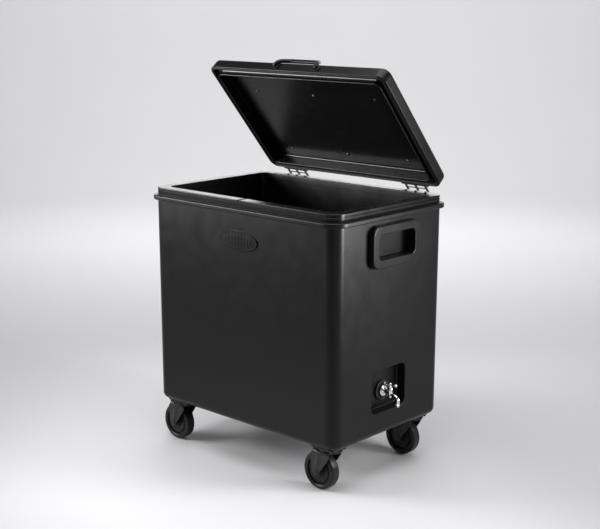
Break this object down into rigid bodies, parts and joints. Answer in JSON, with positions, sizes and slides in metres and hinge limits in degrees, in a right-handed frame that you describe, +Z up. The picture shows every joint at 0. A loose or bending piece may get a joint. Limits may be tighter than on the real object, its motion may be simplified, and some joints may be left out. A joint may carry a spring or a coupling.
{
  "type": "portable waste tote",
  "caption": "Portable waste tote: a double-walled plastic tub on swivel casters, with a hinged gasketed lid, moulded end grips and a quarter-turn drain tap.",
  "frame": {"origin": "the centre of the flat underside of the tub, where the casters bolt on", "axes": "+Z up, -Y the front with the badge, +X the right end with the tap, the lid hinged along the rear edge"},
  "size_m": [0.5596, 0.3832, 0.8482],
  "materials": {
    "shell_plastic": "satin black, fine moulded texture",
    "tank_plastic": "satin black, smoother than the shell",
    "trim_plastic": "satin black",
    "soft_rubber": "dull black",
    "tyre_rubber": "dull black",
    "hub_plastic": "black, slight sheen",
    "bright_chrome": "polished",
    "dark_steel": "black coated steel",
    "screw_steel": "zinc plated"
  },
  "bodies": {
    "tub": {"outer_shell": "shell_plastic", "inner_tub": "tank_plastic", "side_grip_left": "trim_plastic", "side_grip_right": "trim_plastic", "front_badge": "trim_plastic", "tap_gasket_disc": "soft_rubber", "tap_body": "bright_chrome", "tap_seal": "soft_rubber", "tap_locknut": "trim_plastic", "tap_gland_nut": "bright_chrome", "caster_plate_front_left": "dark_steel", "caster_stud_plate_front_left": "screw_steel", "caster_plate_rear_left": "dark_steel", "caster_stud_plate_rear_left": "screw_steel", "caster_plate_front_right": "dark_steel", "caster_stud_plate_front_right": "screw_steel", "caster_plate_rear_right": "dark_steel", "caster_stud_plate_rear_right": "screw_steel", "hinge_body_leaf_left": "dark_steel", "hinge_body_leaf_right": "dark_steel", "hinge_pin_left": "screw_steel", "hinge_pin_right": "screw_steel", "hinge_body_screw_left_1": "screw_steel", "hinge_body_screw_left_2": "screw_steel", "hinge_body_screw_right_1": "screw_steel", "hinge_body_screw_right_2": "screw_steel"},
    "lid": {"lid_shell": "shell_plastic", "lid_liner": "tank_plastic", "lid_gasket": "soft_rubber", "lid_handle": "trim_plastic", "lid_liner_screw_1": "screw_steel", "lid_liner_screw_2": "screw_steel", "lid_liner_screw_3": "screw_steel", "lid_liner_screw_4": "screw_steel", "lid_liner_screw_5": "screw_steel", "lid_liner_screw_6": "screw_steel", "hinge_lid_leaf_left": "dark_steel", "hinge_lid_leaf_right": "dark_steel", "hinge_lid_screw_left_1": "screw_steel", "hinge_lid_screw_left_2": "screw_steel", "hinge_lid_screw_right_1": "screw_steel", "hinge_lid_screw_right_2": "screw_steel"},
    "tap_lever": {"tap_handle": "bright_chrome"},
    "swivel_front_left": {"caster_fork_front_left": "dark_steel", "caster_axle_front_left": "screw_steel"},
    "wheel_front_left": {"wheel_tyre_front_left": "tyre_rubber", "wheel_hub_front_left": "hub_plastic"},
    "swivel_rear_left": {"caster_fork_rear_left": "dark_steel", "caster_axle_rear_left": "screw_steel"},
    "wheel_rear_left": {"wheel_tyre_rear_left": "tyre_rubber", "wheel_hub_rear_left": "hub_plastic"},
    "swivel_front_right": {"caster_fork_front_right": "dark_steel", "caster_axle_front_right": "screw_steel"},
    "wheel_front_right": {"wheel_tyre_front_right": "tyre_rubber", "wheel_hub_front_right": "hub_plastic"},
    "swivel_rear_right": {"caster_fork_rear_right": "dark_steel", "caster_axle_rear_right": "screw_steel"},
    "wheel_rear_right": {"wheel_tyre_rear_right": "tyre_rubber", "wheel_hub_rear_right": "hub_plastic"}
  },
  "joints": [
    {"name": "lid_hinge", "type": "hinge", "parent": "tub", "child": "lid", "pos_m": [0, 0.18, 0.4519], "axis": [-1, 0, 0], "range_deg": [-49.6, 50.4]},
    {"name": "tap_turn", "type": "hinge", "parent": "tub", "child": "tap_lever", "pos_m": [0.2605, 0, 0.1043], "axis": [0, 0, 1], "range_deg": [0, 90]},
    {"name": "caster_swivel_front_left", "type": "hinge", "parent": "tub", "child": "swivel_front_left", "pos_m": [-0.2136, -0.133, 0], "axis": [0, 0, 1], "continuous": true},
    {"name": "wheel_spin_front_left", "type": "hinge", "parent": "swivel_front_left", "child": "wheel_front_left", "pos_m": [-0.2341, -0.133, -0.0579], "axis": [0, 1, 0], "continuous": true},
    {"name": "caster_swivel_rear_left", "type": "hinge", "parent": "tub", "child": "swivel_rear_left", "pos_m": [-0.2136, 0.133, 0], "axis": [0, 0, 1], "continuous": true},
    {"name": "wheel_spin_rear_left", "type": "hinge", "parent": "swivel_rear_left", "child": "wheel_rear_left", "pos_m": [-0.2341, 0.133, -0.0579], "axis": [0, 1, 0], "continuous": true},
    {"name": "caster_swivel_front_right", "type": "hinge", "parent": "tub", "child": "swivel_front_right", "pos_m": [0.2136, -0.133, 0], "axis": [0, 0, 1], "continuous": true},
    {"name": "wheel_spin_front_right", "type": "hinge", "parent": "swivel_front_right", "child": "wheel_front_right", "pos_m": [0.1931, -0.133, -0.0579], "axis": [0, 1, 0], "continuous": true},
    {"name": "caster_swivel_rear_right", "type": "hinge", "parent": "tub", "child": "swivel_rear_right", "pos_m": [0.2136, 0.133, 0], "axis": [0, 0, 1], "continuous": true},
    {"name": "wheel_spin_rear_right", "type": "hinge", "parent": "swivel_rear_right", "child": "wheel_rear_right", "pos_m": [0.1931, 0.133, -0.0579], "axis": [0, 1, 0], "continuous": true}
  ]
}
